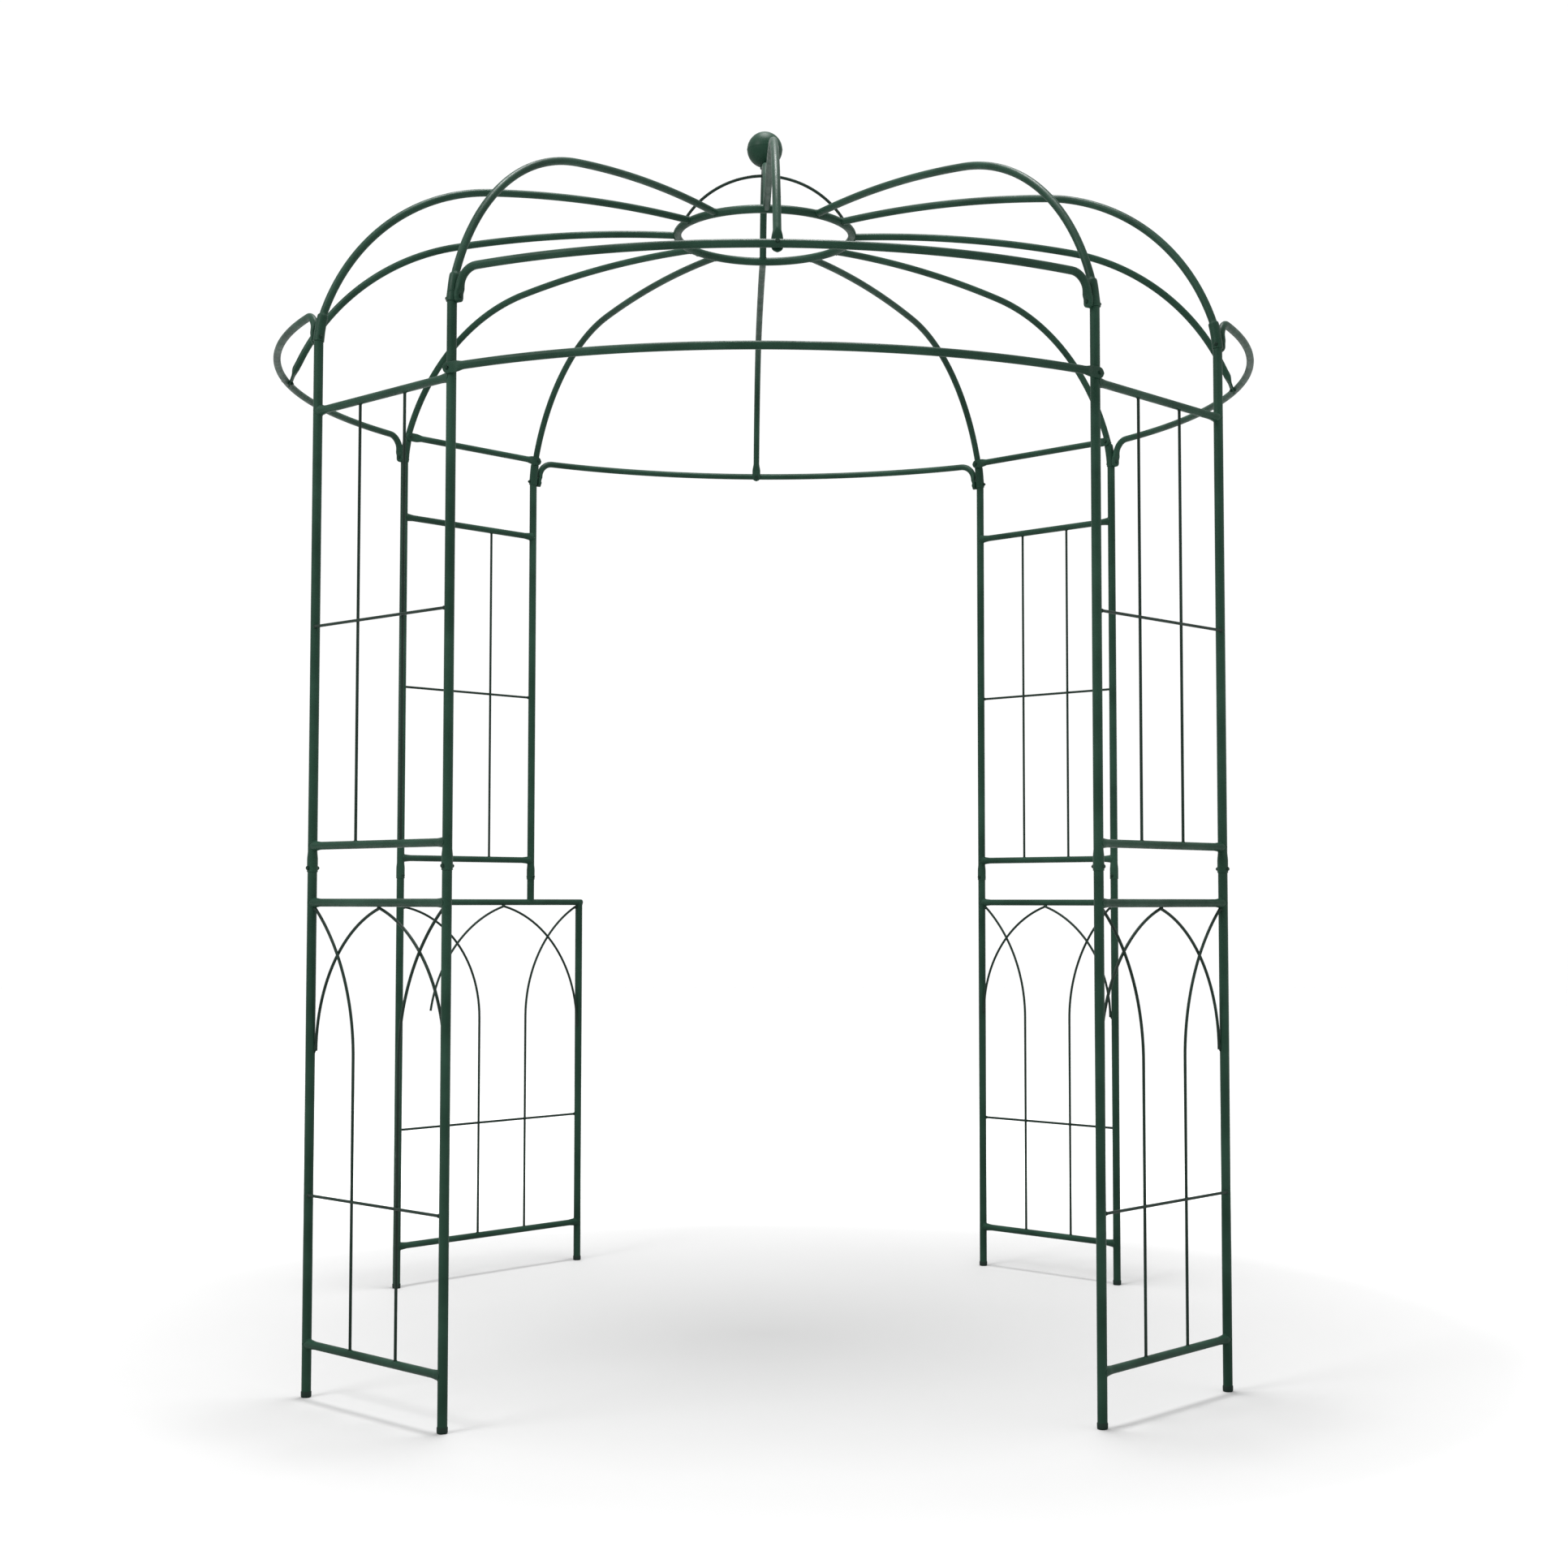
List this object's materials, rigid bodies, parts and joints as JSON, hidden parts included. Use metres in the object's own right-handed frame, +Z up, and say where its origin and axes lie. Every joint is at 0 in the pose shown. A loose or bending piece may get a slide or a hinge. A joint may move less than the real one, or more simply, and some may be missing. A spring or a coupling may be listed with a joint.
{
  "type": "garden pavilion trellis",
  "caption": "Round domed garden pavilion of steel tube with trellis panels, open doorways, arches, ribs and a ball finial.",
  "frame": {"origin": "on the ground, under the middle of the crown ring", "axes": "+Z up, the front doorway faces -Y, +X to the right seen from the front"},
  "size_m": [2.2236, 2.2314, 2.7655],
  "materials": {
    "frame_green": "satin dark green powder coat",
    "rod_green": "satin dark green powder coat on thin rods",
    "hardware": "dark green coated bolts and nuts",
    "foot_cap": "matte moulded plastic"
  },
  "bodies": {
    "root": {"front_left_lower_legs": "frame_green", "front_left_lower_rails": "frame_green", "front_left_lower_lattice": "rod_green", "front_left_upper_legs": "frame_green", "front_left_upper_rails": "frame_green", "front_left_upper_lattice": "rod_green", "front_right_lower_legs": "frame_green", "front_right_lower_rails": "frame_green", "front_right_lower_lattice": "rod_green", "front_right_upper_legs": "frame_green", "front_right_upper_rails": "frame_green", "front_right_upper_lattice": "rod_green", "back_right_lower_legs": "frame_green", "back_right_lower_rails": "frame_green", "back_right_lower_lattice": "rod_green", "back_right_upper_legs": "frame_green", "back_right_upper_rails": "frame_green", "back_right_upper_lattice": "rod_green", "back_left_lower_legs": "frame_green", "back_left_lower_rails": "frame_green", "back_left_lower_lattice": "rod_green", "back_left_upper_legs": "frame_green", "back_left_upper_rails": "frame_green", "back_left_upper_lattice": "rod_green", "front_left_rib_a": "frame_green", "front_left_rib_b": "frame_green", "front_right_rib_a": "frame_green", "front_right_rib_b": "frame_green", "back_right_rib_a": "frame_green", "back_right_rib_b": "frame_green", "back_left_rib_a": "frame_green", "back_left_rib_b": "frame_green", "front_middle_rib": "frame_green", "right_middle_rib": "frame_green", "back_middle_rib": "frame_green", "left_middle_rib": "frame_green", "front_arch": "frame_green", "right_arch": "frame_green", "back_arch": "frame_green", "left_arch": "frame_green", "front_low_arch": "frame_green", "back_left_tie": "frame_green", "back_right_tie": "frame_green", "crown_ring": "frame_green", "crown_hoop": "frame_green", "crown_rod": "rod_green", "finial_ball": "frame_green", "finial_stud": "hardware", "finial_collar": "frame_green", "foot_caps": "foot_cap", "joint_bolts": "hardware", "joint_nuts": "hardware", "eave_bolts": "hardware", "eave_nuts": "hardware", "middle_rib_bolts": "hardware", "middle_rib_nuts": "hardware", "low_arch_bolts": "hardware", "low_arch_nuts": "hardware", "tie_bolts": "hardware", "tie_nuts": "hardware"}
  },
  "joints": []
}
